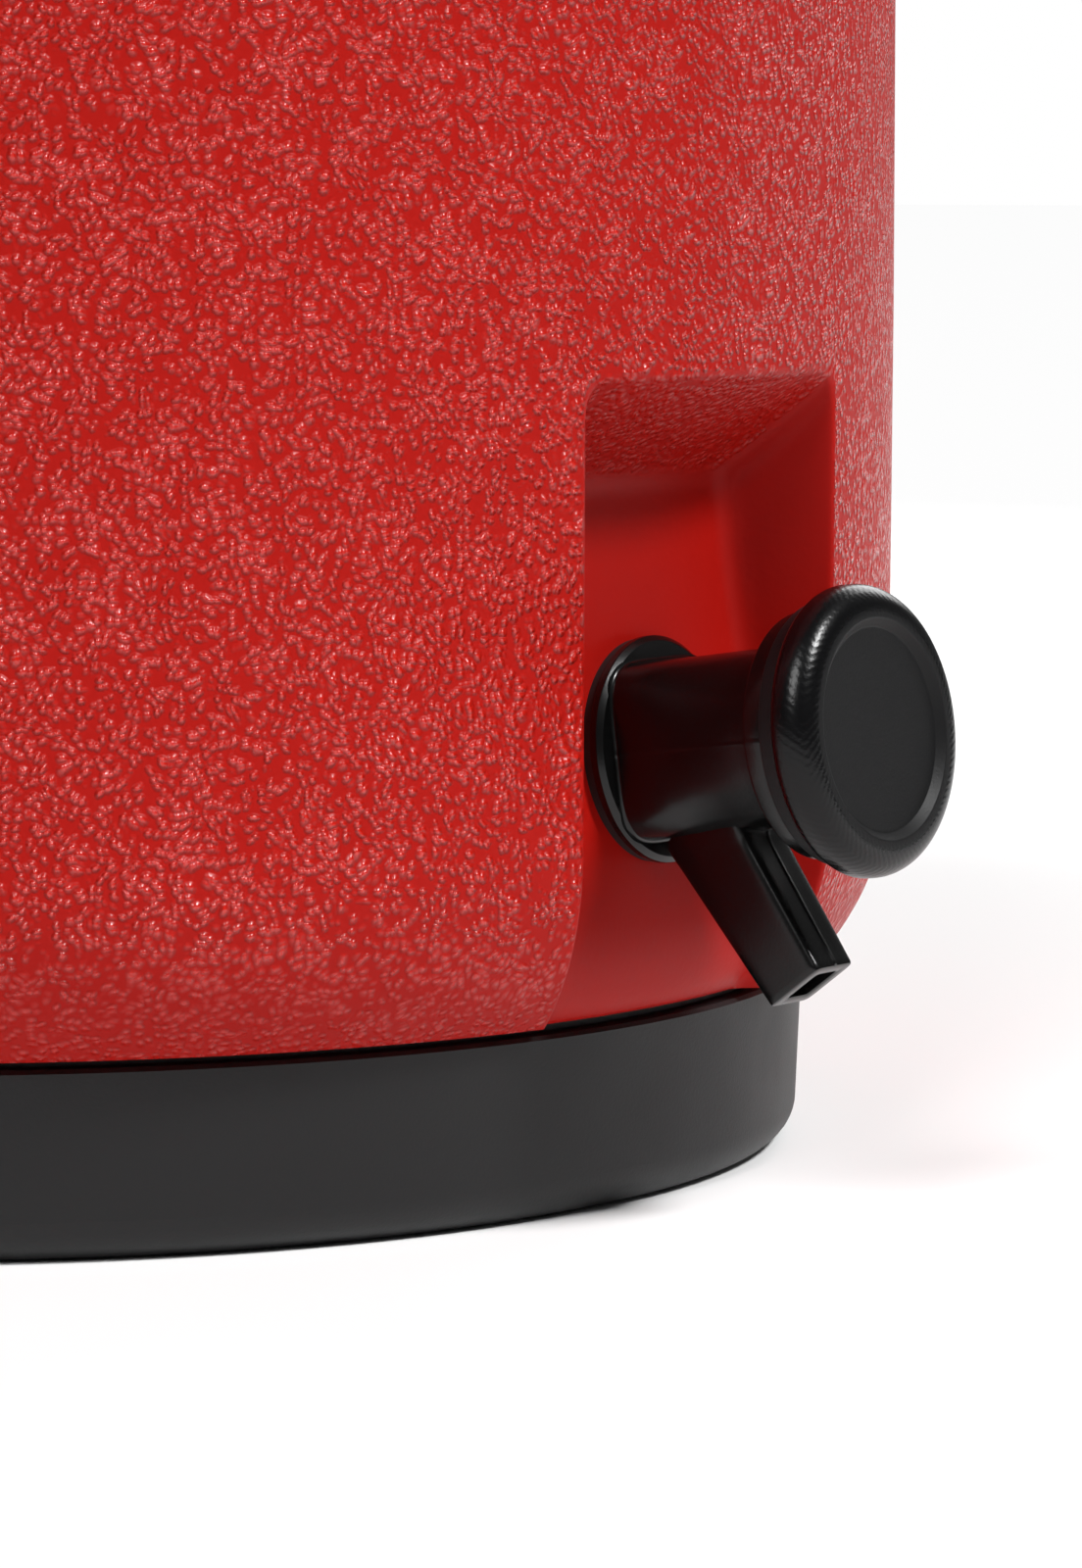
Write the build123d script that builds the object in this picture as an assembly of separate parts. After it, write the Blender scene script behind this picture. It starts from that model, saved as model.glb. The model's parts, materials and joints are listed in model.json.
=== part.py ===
"""Round insulated drinks cooler on two wheels, with a push-button tap in a front recess.

Millimetres. The origin is the centre of the base's underside, on the body's axis.
+Z is up, the tap faces -Y, and the wheels and the pull handle are at +Y.
"""
import os
from math import asin, cos, radians, sin, sqrt, tan

from build123d import *

os.makedirs("parts", exist_ok=True)

# ---------------------------------------------------------------- driving dimensions
wall = 3.0                   # outer shell
body_r = 155.0               # straight side, upper part
body_low_r = 154.5           # side just above the lower rounding
body_low_z = 60.0            # where the lower rounding starts
body_draft_z = 142.0         # where the slight draft ends
body_bottom_z = 31.4
bottom_arc_r = 42.0
body_top_z = 398.0
top_corner_r = 8.0
foot_opening_r = 112.0       # the shell is open underneath, inside its inturned foot

base_top_r = 140.6           # base tub, its top edge
base_low_r = 139.0
base_top_z = 29.7
base_corner_r = 6.5
base_ledge_r = 136.0         # inset ledge that carries the shell
base_screw_pitch_r = 125.5

liner_r = 127.0
liner_wall = 2.5
liner_bottom_z = 43.5
liner_top_z = 436.0
liner_rim_r = 129.0          # bead round the mouth

collar_r = 150.0
collar_top_z = 410.0

recess_tilt = 7.3            # the recess's back wall leans back by this many degrees
tap_y, tap_z = -138.9, 72.2  # where the tap's axis meets that wall
recess_half_width = 29.5     # at the back wall, beside the tap
recess_side_draft = 22.0
recess_top_inner_z = 115.0
recess_top_outer_z = 131.3
recess_floor_inset = 3.5     # least depth of the recess, at the lower rounding
recess_corner_r = 5.0

washer_t = 1.5
flange_r = 18.0
flange_front = 3.5           # distances along the tap's axis, from the recess wall
barrel_r = 14.5
tap_collar_back = 31.0
tap_collar_front = 35.3
tap_collar_r = 19.2
tap_hole_r = 11.2
tail_r = 10.8
tail_bore_r = 7.5
tail_end = -31.0
cavity_back, cavity_r = 3.2, 11.0
guide_back, guide_front = 19.0, 22.0
pocket_r = 9.0
boss_face = -17.0            # flat pad on the liner, square to the tap
boss_r = 19.0
nut_back = -27.0
inner_washer_t = 2.0

button_r = 22.6
button_back = 34.8
button_rim_front = 44.5
button_face = 43.3
button_roof = 41.0           # underside of the button's face
button_cavity_r = 19.6
button_neck_r = 20.5
button_neck_front = 37.8
stem_r = 3.0
stem_running_gap = 0.08
seal_r = 9.5

nozzle_angle = 37.0          # forward from straight down
nozzle_tip_y, nozzle_tip_z = -169.75, 37.35
nozzle_width, nozzle_tip_depth, nozzle_root_depth = 10.6, 11.2, 14.2
nozzle_length = 32.0
nozzle_bore_width, nozzle_bore_depth, nozzle_bore_length = 7.0, 8.2, 43.0

wheel_r = 38.0
wheel_y, wheel_z = 152.0, 40.0
wheel_in_x, wheel_out_x = 104.0, 126.0
hub_r = 31.0
axle_r = 4.0
axle_running_gap = 0.08
axle_inner_x = 64.0
axle_shoulder_r = 7.0
cap_r = 9.0

rear_face_y = 173.0          # flat back of the wheel carrier and of the upper bracket
fit_gap = 0.2                # between a bracket and the body behind it
carrier_half_x, carrier_low_z, carrier_top_z = 98.0, 6.0, 76.0
bracket_half_x, bracket_low_z, bracket_top_z = 72.0, 370.0, 400.0
rear_screw_x = 25.0
carrier_screw_z, bracket_screw_z = 60.0, 384.0

tube_x, tube_y = 52.0, 160.0
outer_tube = (10.0, 8.4, 44.0, 400.0)     # outer radius, bore radius, low z, high z
middle_tube = (8.0, 6.6, 52.0, 407.0)
inner_tube = (6.2, 4.8, 58.0, 460.0)
middle_stop_r, middle_stop_z = 9.8, 400.8
grip_low_z, grip_high_z = 447.0, 471.0
grip_half_x, grip_half_depth = 68.0, 11.0
release_half_x, release_half_depth, release_travel = 17.0, 5.0, 4.0

carry_x, carry_z = 170.0, 380.0           # pivot of a carry handle
carry_eye_y = 50.5
carry_eye_t = 8.0
carry_eye_r = 8.0
carry_drop = 80.0
carry_grip_r = 11.0
carry_pin_r = 3.0
ear_t, ear_gap, ear_r = 4.0, 0.5, 9.0

lid_r = 140.0
lid_wall = 3.0
lid_low_z, lid_shoulder_z, lid_top_z = 410.4, 450.0, 468.0
lid_shoulder_r = 14.0
lid_lip_r, lid_lip_top_z = 146.0, 417.0
plug_r, plug_low_z, plug_roof_z = 122.0, 414.0, 440.0
panel_t = 2.5
gasket_r, gasket_low_z, gasket_high_z = 124.2, 424.0, 430.0

# ---------------------------------------------------------------- helpers
tilt = radians(recess_tilt)
tap_plane = Plane(origin=(0, tap_y, tap_z), x_dir=(1, 0, 0), z_dir=(0, -cos(tilt), sin(tilt)))
sideways = Plane(origin=(0, 0, 0), x_dir=(0, 1, 0), z_dir=(1, 0, 0))


def ring(outer, inner, low, high, plane=Plane.XY):
    """A flat-ended ring, or a disc where inner is 0, between two heights over a plane."""
    section = Circle(outer) - Circle(inner) if inner else Circle(outer)
    return extrude(plane.offset(low) * section, high - low)


def turned(points):
    """The solid that a closed outline of (radius, height) points makes about the Z axis."""
    return revolve(Plane.XZ * make_face(Polyline(*points, close=True)), Axis.Z)


def block(x0, x1, y0, y1, z0, z1):
    """A box between two corners."""
    centre = Pos((x0 + x1) / 2, (y0 + y1) / 2, (z0 + z1) / 2)
    return centre * Box(x1 - x0, y1 - y0, z1 - z0)


def both_sides(shape):
    """The shape and its mirror image across the middle plane."""
    return [shape, mirror(shape, Plane.YZ)]


def arc(centre_r, centre_z, radius, start, end):
    """A circular arc in the turning outline, between two angles in degrees."""
    return CenterArc((centre_r, centre_z), radius, start, end - start)


def save(name, *solids):
    """Write one node: a single solid, or a group of separate ones."""
    shape = solids[0] if len(solids) == 1 else Compound(children=list(solids))
    export_step(shape, f"parts/{name}.step")


# ---------------------------------------------------------------- body forms
def body_form(inset):
    """The body's outer form, moved inwards all over: a cylinder with a rounded foot."""
    arc_r = bottom_arc_r - inset
    centre_r = body_low_r - bottom_arc_r
    low = body_bottom_z + inset
    high = body_top_z - inset
    rim_r = centre_r + sqrt(arc_r**2 - (body_low_z - low)**2)
    foot = ThreePointArc(
        (rim_r, low),
        (centre_r + arc_r * cos(radians(-20)), body_low_z + arc_r * sin(radians(-20))),
        (body_low_r - inset, body_low_z),
    )
    corner = max(top_corner_r - inset, 1.0)
    side_r = body_r - inset
    shoulder = arc(side_r - corner, high - corner, corner, 0, 90)
    outline = Curve() + [
        Line((0, low), (rim_r, low)),
        foot,
        Line((body_low_r - inset, body_low_z), (side_r, body_draft_z)),
        Line((side_r, body_draft_z), (side_r, high - corner)),
        shoulder,
        Line((side_r - corner, high), (0, high)),
        Line((0, high), (0, low)),
    ]
    return revolve(Plane.XZ * make_face(outline), Axis.Z)


def recess_form(inset):
    """What the tap recess takes out of the body, grown by inset on every wall.

    A drafted channel with a leaning back and a sloping roof, open at the front and below.
    Near the body's foot its floor follows the foot instead of the leaning back.
    """
    front_y, low_z, deep_y = -180.0, 15.0, -110.0
    back_shift = inset / cos(tilt)

    def back_y(z):
        return tap_y + (z - tap_z) * tan(tilt) + back_shift

    inner_y = back_y(recess_top_inner_z) - back_shift
    slope = (recess_top_outer_z - recess_top_inner_z) / (inner_y + body_r)
    roof_shift = inset * sqrt(1 + slope**2)

    def roof_z(y):
        return recess_top_inner_z + (inner_y - y) * slope + roof_shift

    def half_width(y):
        draft = radians(recess_side_draft)
        return recess_half_width + (tap_y - y) * tan(draft) + inset / cos(draft)

    # where the leaning back meets the sloping roof
    top_z = roof_z(back_y(0)) / (1 + slope * tan(tilt))
    side = Polyline((back_y(low_z), low_z), (back_y(top_z), top_z),
                    (front_y, roof_z(front_y)), (front_y, low_z), close=True)
    side_deep = Polyline((deep_y, low_z), (deep_y, roof_z(deep_y)),
                         (front_y, roof_z(front_y)), (front_y, low_z), close=True)
    plan = Polyline((-half_width(front_y), front_y), (half_width(front_y), front_y),
                    (half_width(deep_y), deep_y), (-half_width(deep_y), deep_y), close=True)
    column = extrude(Plane.XY * make_face(plan), 200)
    channel = extrude(sideways * make_face(side), 70, both=True) & column
    inner_edges = [e for e in channel.edges() if e.center().Y > -145 and e.length > 40
                   and e.center().Z > low_z + 5]
    channel = fillet(inner_edges, recess_corner_r + inset)
    deep = extrude(sideways * make_face(side_deep), 70, both=True) & column
    return channel + (deep - body_form(recess_floor_inset + inset))


def hollow_body(inset):
    """The body with its recess, moved inwards all over."""
    return body_form(inset) - recess_form(inset)


tap_hole = ring(tap_hole_r, 0, -40, 10, tap_plane)


def rear_screws(z):
    """Two countersunk screws that hold a bracket to the body's back."""
    plane = Plane(origin=(rear_screw_x, 0, z), x_dir=(1, 0, 0), z_dir=(0, 1, 0))
    return both_sides(ring(2.5, 0, 147.5, 170.5, plane) + ring(5.0, 0, 169.5, 172.0, plane))


def rear_screw_holes(z):
    """The holes for them, through bracket and shell."""
    plane = Plane(origin=(rear_screw_x, 0, z), x_dir=(1, 0, 0), z_dir=(0, 1, 0))
    hole = ring(2.6, 0, 147.0, 175.0, plane) + ring(5.2, 0, 169.3, 175.0, plane)
    return both_sides(hole)


# ---------------------------------------------------------------- body, liner and base
def base_screw_places():
    """Four places on the pitch circle, between the axes."""
    return PolarLocations(base_screw_pitch_r, 4, start_angle=45)


def build_body():
    mouth = ring(liner_r + 0.3, 0, 380, body_top_z + 1)
    screw_holes = [place * ring(2.1, 0, 20, 42.6) for place in base_screw_places()]
    rear_holes = rear_screw_holes(carrier_screw_z) + rear_screw_holes(bracket_screw_z)
    foot_opening = ring(foot_opening_r, 0, body_bottom_z, body_bottom_z + wall)
    shell = hollow_body(0) - hollow_body(wall) - mouth - tap_hole - foot_opening
    shell = shell - screw_holes - rear_holes
    save("outer_shell", shell)

    liner_space = ring(liner_r, 0, liner_bottom_z, 420)
    foam = hollow_body(wall) + foot_opening - liner_space - tap_hole - screw_holes - rear_holes
    save("foam_fill", foam)

    inside_r = liner_r - liner_wall
    liner = ring(liner_r, inside_r, liner_bottom_z, liner_top_z)
    bead = turned([(inside_r, liner_top_z - 6), (liner_r, liner_top_z - 6), (liner_rim_r, liner_top_z - 4),
                   (liner_rim_r, liner_top_z), (inside_r, liner_top_z)])
    pad = ring(boss_r, 0, boss_face, 0, tap_plane) & ring(liner_r, 0, liner_bottom_z, liner_top_z)
    liner = liner + bead + pad - tap_hole
    save("inner_liner", liner)
    save("liner_floor", ring(inside_r, 0, liner_bottom_z, liner_bottom_z + liner_wall))

    collar = turned([(liner_r + 0.4, body_top_z), (collar_r - 2, body_top_z),
                     (collar_r, body_top_z + 2), (collar_r - 1, collar_top_z - 2),
                     (collar_r - 3, collar_top_z), (liner_r + 0.4, collar_top_z)])
    save("top_collar", collar)


def build_base():
    outline = Curve() + [
        Line((0, 0), (base_low_r - base_corner_r, 0)),
        arc(base_low_r - base_corner_r, base_corner_r, base_corner_r, -90, 0),
        Line((base_low_r, base_corner_r), (base_top_r - 0.6, base_top_z - 0.6)),
        Line((base_top_r - 0.6, base_top_z - 0.6), (base_top_r - 1.2, base_top_z)),
        Line((base_top_r - 1.2, base_top_z), (base_ledge_r, base_top_z)),
        Line((base_ledge_r, base_top_z), (base_ledge_r, body_bottom_z)),
        Line((base_ledge_r, body_bottom_z), (0, body_bottom_z)),
        Line((0, body_bottom_z), (0, 0)),
    ]
    tub = revolve(Plane.XZ * make_face(outline), Axis.Z)
    tub = tub - ring(base_ledge_r - wall, 0, wall, body_bottom_z + 1)
    for place in base_screw_places():
        tub = tub + place * ring(8.0, 0, 1.0, body_bottom_z)
        tub = tub - place * (ring(2.1, 0, -1, 40) + ring(5.0, 0, -1, 4.0))
    save("base_tub", tub)
    screw = ring(2.0, 0, 3.0, 42.0) + ring(4.7, 0, 1.4, 3.9)
    save("base_screws", *[place * screw for place in base_screw_places()])


# ---------------------------------------------------------------- tap
def build_tap():
    def along(outer, inner, low, high):
        return ring(outer, inner, low, high, tap_plane)

    down = radians(nozzle_angle)
    nozzle_plane = Plane(origin=(0, nozzle_tip_y, nozzle_tip_z), x_dir=(1, 0, 0),
                         z_dir=(0, sin(down), cos(down)))
    tip = nozzle_plane * RectangleRounded(nozzle_width, nozzle_tip_depth, 1.8)
    root = nozzle_plane.offset(nozzle_length) * RectangleRounded(nozzle_width + 1,
                                                                 nozzle_root_depth, 1.8)
    nozzle = loft([tip, root])
    bore_section = RectangleRounded(nozzle_bore_width, nozzle_bore_depth, 1)
    bore = extrude(nozzle_plane.offset(-1) * bore_section, nozzle_bore_length)
    body = along(flange_r, 0, washer_t, flange_front)
    body = body + along(barrel_r, 0, washer_t, tap_collar_back + 1)
    body = body + along(tail_r, 0, tail_end, washer_t) + nozzle
    body = body + along(tap_collar_r, 0, tap_collar_back, tap_collar_front)
    body = body - along(tail_bore_r, 0, tail_end - 1, cavity_back + 1)
    body = body - along(cavity_r, 0, cavity_back, guide_back)
    body = body - along(pocket_r, 0, guide_front, tap_collar_front + 1) - bore
    body = body - along(stem_r + stem_running_gap, 0, guide_back - 1, guide_front + 1)
    save("tap_body", body)

    save("tap_outer_washer", along(flange_r - 0.4, tap_hole_r, 0, washer_t))
    save("tap_inner_washer", along(boss_r - 2, tap_hole_r, boss_face - inner_washer_t, boss_face))
    nut_plane = tap_plane.offset(nut_back)
    nut_height = boss_face - inner_washer_t - nut_back
    nut = extrude(nut_plane * (RegularPolygon(16.5, 6) - Circle(tail_r + 0.1)), nut_height)
    save("tap_lock_nut", nut)
    save("stem_seal", along(8.0, stem_r + 0.35, guide_back - 3.0, guide_back - 0.1))
    save("return_spring", along(6.6, 5.2, guide_front + 0.2, button_roof - 0.2))

    outline = Curve() + [
        Line((0, button_roof), (button_cavity_r, button_roof)),
        Line((button_cavity_r, button_roof), (button_cavity_r, button_back)),
        Line((button_cavity_r, button_back), (button_neck_r, button_back)),
        Line((button_neck_r, button_back), (button_neck_r, button_neck_front)),
        ThreePointArc((button_neck_r, button_neck_front), (button_r, 40.8), (18.2, button_rim_front)),
        Line((18.2, button_rim_front), (17.1, button_rim_front)),
        Line((17.1, button_rim_front), (15.7, button_face)),
        Line((15.7, button_face), (0, button_face)),
        Line((0, button_face), (0, button_roof)),
    ]
    turning = Plane(origin=tap_plane.origin, x_dir=(1, 0, 0), z_dir=(0, -sin(tilt), -cos(tilt)))
    face = turning * make_face(outline)
    axis = Axis(origin=tuple(tap_plane.origin), direction=tuple(tap_plane.z_dir))
    save("push_button", revolve(face, axis))
    stem = along(stem_r, 0, tail_end - 4.1, button_roof) + along(4.5, 0, tail_end - 6.0, tail_end - 4.1)
    save("valve_stem", stem)
    save("valve_seal", along(seal_r, stem_r, tail_end - 4.1, tail_end - 0.1))


# ---------------------------------------------------------------- wheels
def build_wheels():
    axle_line = sideways.shift_origin((0, wheel_y, wheel_z))

    def about(outer, inner, low, high):
        return ring(outer, inner, low, high, axle_line)

    carrier = block(-carrier_half_x, carrier_half_x, 100, rear_face_y, carrier_low_z, carrier_top_z)
    corners = carrier.edges().filter_by(Axis.Z).filter_by_position(Axis.Y, rear_face_y - 1, rear_face_y + 1)
    carrier = fillet(corners, 14)
    rims = [e for e in carrier.edges() if e.center().Z > carrier_top_z - 1 and e.center().Y > 120]
    carrier = fillet(rims, 5)
    carrier = carrier - body_form(-fit_gap) - ring(base_top_r + 0.4, 0, 0, body_bottom_z)
    sockets = ring(outer_tube[0] + 0.05, 0, outer_tube[2], 100)
    sockets = both_sides(Pos(tube_x, tube_y, 0) * sockets)
    bores = both_sides(about(axle_r + 0.05, 0, axle_inner_x, carrier_half_x + 1))
    carrier = carrier - sockets - bores - rear_screw_holes(carrier_screw_z)
    save("wheel_carrier", carrier)
    save("carrier_screws", *rear_screws(carrier_screw_z))

    hub_in, hub_out = wheel_in_x - 2, wheel_out_x + 1
    axle = about(axle_r, 0, axle_inner_x, hub_out + 4)
    axle = axle + about(axle_shoulder_r, 0, carrier_half_x + 0.2, hub_in - 0.5)
    cap = about(cap_r, axle_r + 0.05, hub_out + 0.8, hub_out + 4) + about(cap_r, 0, hub_out + 4, hub_out + 6)
    mid_x = (wheel_in_x + wheel_out_x) / 2
    hub = about(hub_r, hub_r - 4, wheel_in_x + 1, wheel_out_x - 1) + about(9.5, 0, hub_in, hub_out)
    hub = hub + about(hub_r - 2, 0, mid_x - 2, mid_x + 2)
    rib = block(wheel_in_x + 4, wheel_out_x - 4, -2, 2, 8, hub_r - 3)
    for number in range(5):
        hub = hub + Pos(0, wheel_y, wheel_z) * Rot(72 * number, 0, 0) * rib
    hub = hub - about(axle_r + axle_running_gap, 0, hub_in - 1, hub_out + 1)
    tyre = about(wheel_r, hub_r, wheel_in_x, wheel_out_x)
    tread_edges = [e for e in tyre.edges().filter_by(GeomType.CIRCLE) if abs(e.radius - wheel_r) < 0.1]
    tyre = fillet(tread_edges, 4)
    for side, pick in (("right", 0), ("left", 1)):
        save(f"axle_{side}", both_sides(axle)[pick])
        save(f"axle_cap_{side}", both_sides(cap)[pick])
        save(f"wheel_hub_{side}", both_sides(hub)[pick])
        save(f"wheel_tyre_{side}", both_sides(tyre)[pick])


# ---------------------------------------------------------------- pull handle
def build_pull_handle():
    bracket = block(-bracket_half_x, bracket_half_x, 100, rear_face_y, bracket_low_z, bracket_top_z)
    corners = bracket.edges().filter_by(Axis.Z).filter_by_position(Axis.Y, rear_face_y - 1, rear_face_y + 1)
    bracket = fillet(corners, 12)
    rims = [e for e in bracket.edges() if e.center().Y > 120 and abs(e.center().Z - 385) > 14]
    bracket = fillet(rims, 3)
    through = ring(outer_tube[0] + 0.05, 0, 300, 450)
    bracket = bracket - ring(body_r + fit_gap, 0, 300, 450) - both_sides(Pos(tube_x, tube_y, 0) * through)
    bracket = bracket - rear_screw_holes(bracket_screw_z)
    save("handle_bracket", bracket)
    save("bracket_screws", *rear_screws(bracket_screw_z))

    outer = Pos(tube_x, tube_y, 0) * ring(*outer_tube)
    middle = ring(*middle_tube) + ring(middle_stop_r, middle_tube[1], middle_stop_z, middle_tube[3])
    middle = Pos(tube_x, tube_y, 0) * middle
    inner = Pos(tube_x, tube_y, 0) * ring(*inner_tube)
    for side, pick in (("right", 0), ("left", 1)):
        save(f"outer_tube_{side}", both_sides(outer)[pick])
        save(f"middle_tube_{side}", both_sides(middle)[pick])
        save(f"inner_tube_{side}", both_sides(inner)[pick])

    grip = block(-grip_half_x, grip_half_x, tube_y - grip_half_depth, tube_y + grip_half_depth,
                 grip_low_z, grip_high_z)
    grip = fillet(grip.edges().filter_by(Axis.Z), 9)
    grip = fillet([e for e in grip.edges() if abs(e.center().Z - (grip_low_z + grip_high_z) / 2) > 8], 7)
    sockets = ring(inner_tube[0] + 0.05, 0, grip_low_z - 1, inner_tube[3])
    grip = grip - both_sides(Pos(tube_x, tube_y, 0) * sockets)
    slot_gap = 0.4
    slot = block(-release_half_x - slot_gap, release_half_x + slot_gap,
                 tube_y - release_half_depth - slot_gap, tube_y + release_half_depth + slot_gap,
                 grip_high_z - 10, grip_high_z + 5)
    save("pull_grip", grip - slot)
    release = block(-release_half_x, release_half_x, tube_y - release_half_depth,
                    tube_y + release_half_depth, grip_high_z - 5.5, grip_high_z - 1.0)
    release = fillet(release.edges().filter_by(Axis.Z), 4)
    save("release_button", release)


# ---------------------------------------------------------------- carry handles
def build_carry_handles():
    pivot_plane = Plane(origin=(carry_x, 0, carry_z), x_dir=(0, 0, 1), z_dir=(0, 1, 0))

    def about(outer, inner, low, high):
        return ring(outer, inner, low, high, pivot_plane)

    plate = block(130, 161, -64, 64, 362, 392)
    outer_edges = plate.edges().filter_by(Axis.Z).filter_by_position(Axis.X, 160, 162)
    plate = fillet(outer_edges, 8)
    eye_in, eye_out = carry_eye_y - carry_eye_t / 2, carry_eye_y + carry_eye_t / 2
    ears = [(eye_in - ear_gap - ear_t, eye_in - ear_gap), (eye_out + ear_gap, eye_out + ear_gap + ear_t)]
    ears = ears + [(-high, -low) for low, high in ears]
    lug = plate
    for low, high in ears:
        lug = lug + about(ear_r, 0, low, high) + block(150, carry_x, low, high, carry_z - ear_r, carry_z + ear_r)
    lug = lug - body_form(-fit_gap)
    for low, high in ears:
        lug = lug - about(carry_pin_r + 0.02, 0, low - 0.5, high + 0.5)

    arm_half = 5.0
    bail = Pos(carry_x, 0, carry_z - carry_drop) * Rot(90, 0, 0) * Cylinder(carry_grip_r, 2 * eye_in)
    for low, high in ((eye_in, eye_out), (-eye_out, -eye_in)):
        bail = bail + about(carry_eye_r, 0, low, high)
        bail = bail + block(carry_x - arm_half, carry_x + arm_half, low, high, carry_z - carry_drop, carry_z)
        foot = Plane(origin=(carry_x, 0, carry_z - carry_drop), x_dir=(0, 0, 1), z_dir=(0, 1, 0))
        bail = bail + ring(carry_grip_r, 0, low, high, foot)
    for low, high in ((eye_in, eye_out), (-eye_out, -eye_in)):
        bail = bail - about(carry_pin_r + 0.08, 0, low - 1, high + 1)

    pin_in, pin_out = ears[0][0], ears[1][1]
    pin = about(carry_pin_r, 0, pin_in, pin_out) + about(4.5, 0, pin_out, pin_out + 2)
    pin = [pin, mirror(pin, Plane.XZ)]
    for side, pick in (("right", 0), ("left", 1)):
        save(f"carry_bracket_{side}", both_sides(lug)[pick])
        save(f"carry_handle_{side}", both_sides(bail)[pick])
        save(f"carry_pins_{side}", *[both_sides(p)[pick] for p in pin])


# ---------------------------------------------------------------- lid
def lid_outline(inset):
    """Half of the lid's section, moved inwards: side, rounded shoulder, shallow dome.

    The dome is part of a sphere centred on the axis, so its radius follows from its rise.
    """
    side = lid_r - inset
    edge_r = side - lid_shoulder_r
    edge_z = lid_shoulder_z + lid_shoulder_r - inset
    top = lid_top_z - inset
    low = lid_low_z - (1 if inset else 0)
    rise = top - edge_z
    dome_r = (edge_r**2 + rise**2) / (2 * rise)
    half_angle = asin(edge_r / dome_r) / 2
    dome_middle = (dome_r * sin(half_angle), top - dome_r * (1 - cos(half_angle)))
    return Curve() + [
        Line((0, low), (side, low)),
        Line((side, low), (side, edge_z - lid_shoulder_r)),
        arc(edge_r, edge_z - lid_shoulder_r, lid_shoulder_r, 0, 90),
        ThreePointArc((edge_r, edge_z), dome_middle, (0, top)),
        Line((0, top), (0, low)),
    ]


def build_lid():
    outer = revolve(Plane.XZ * make_face(lid_outline(0)), Axis.Z)
    inner = revolve(Plane.XZ * make_face(lid_outline(lid_wall)), Axis.Z)
    lip = turned([(lid_r - 1, lid_low_z), (lid_lip_r - 1, lid_low_z), (lid_lip_r, lid_low_z + 1),
                  (lid_lip_r, lid_lip_top_z - 3), (lid_r - 1, lid_lip_top_z)])
    save("lid_shell", outer + lip - inner)
    panel_r = lid_r - lid_wall
    panel_top = plug_roof_z + panel_t
    panel = turned([(0, plug_low_z), (plug_r, plug_low_z), (plug_r, plug_roof_z), (panel_r, plug_roof_z),
                    (panel_r, panel_top), (plug_r - panel_t, panel_top),
                    (plug_r - panel_t, plug_low_z + panel_t), (0, plug_low_z + panel_t)])
    panel = panel - ring(plug_r + 1, plug_r - 1.2, gasket_low_z, gasket_high_z)
    save("lid_inner_panel", panel)
    core = ring(plug_r - panel_t, 0, plug_low_z + panel_t, panel_top)
    dome = inner & ring(lid_r, 0, panel_top, lid_top_z)
    save("lid_foam", core + dome)
    save("lid_gasket", ring(gasket_r, plug_r - 1.2, gasket_low_z, gasket_high_z))


build_body()
build_base()
build_tap()
build_wheels()
build_pull_handle()
build_carry_handles()
build_lid()
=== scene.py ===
# %% [markdown]
# # A round drinks cooler on wheels
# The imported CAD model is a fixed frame: it says where every piece is and what each one moves
# with. This script adds the looks: finer surfaces where the CAD's are too plain, and a
# material for every piece. Lengths are in metres unless a name ends in _mm.

# %% Load the frame and measure it
import json
import math

import bmesh
import bpy
import numpy as np
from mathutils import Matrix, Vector


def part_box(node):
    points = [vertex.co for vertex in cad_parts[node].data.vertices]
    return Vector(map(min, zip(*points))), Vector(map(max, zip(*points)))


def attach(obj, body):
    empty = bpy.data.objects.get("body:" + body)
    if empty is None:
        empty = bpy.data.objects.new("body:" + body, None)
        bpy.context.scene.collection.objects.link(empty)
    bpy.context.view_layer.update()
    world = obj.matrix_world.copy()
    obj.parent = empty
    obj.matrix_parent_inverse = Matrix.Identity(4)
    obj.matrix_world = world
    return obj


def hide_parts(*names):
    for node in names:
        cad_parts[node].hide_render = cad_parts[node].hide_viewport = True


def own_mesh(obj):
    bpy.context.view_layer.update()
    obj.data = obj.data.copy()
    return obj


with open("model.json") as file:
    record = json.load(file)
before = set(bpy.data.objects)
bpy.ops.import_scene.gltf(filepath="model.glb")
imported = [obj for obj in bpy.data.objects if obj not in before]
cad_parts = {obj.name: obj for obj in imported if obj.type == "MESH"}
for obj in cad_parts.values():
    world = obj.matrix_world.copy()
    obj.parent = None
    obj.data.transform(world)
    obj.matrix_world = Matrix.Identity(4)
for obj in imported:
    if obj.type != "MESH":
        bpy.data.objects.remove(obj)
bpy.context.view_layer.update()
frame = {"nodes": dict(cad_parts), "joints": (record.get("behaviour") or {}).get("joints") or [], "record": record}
mm = 0.001


def box(node):
    """The lowest and highest corner of a CAD node, as arrays."""
    low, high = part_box(node)
    return np.array(low), np.array(high)


def joint(name):
    """A joint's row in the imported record."""
    return next(j for j in frame["joints"] if j["name"] == name)


# %% [markdown]
# ## Surfaces from arrays
# Every new piece is a grid of points: a shape is a function of two parameters, worked out for
# the whole grid at once. One helper turns such a grid into a closed mesh. It joins the points
# that fall together at a pole or a seam, then turns all faces outwards.

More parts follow.
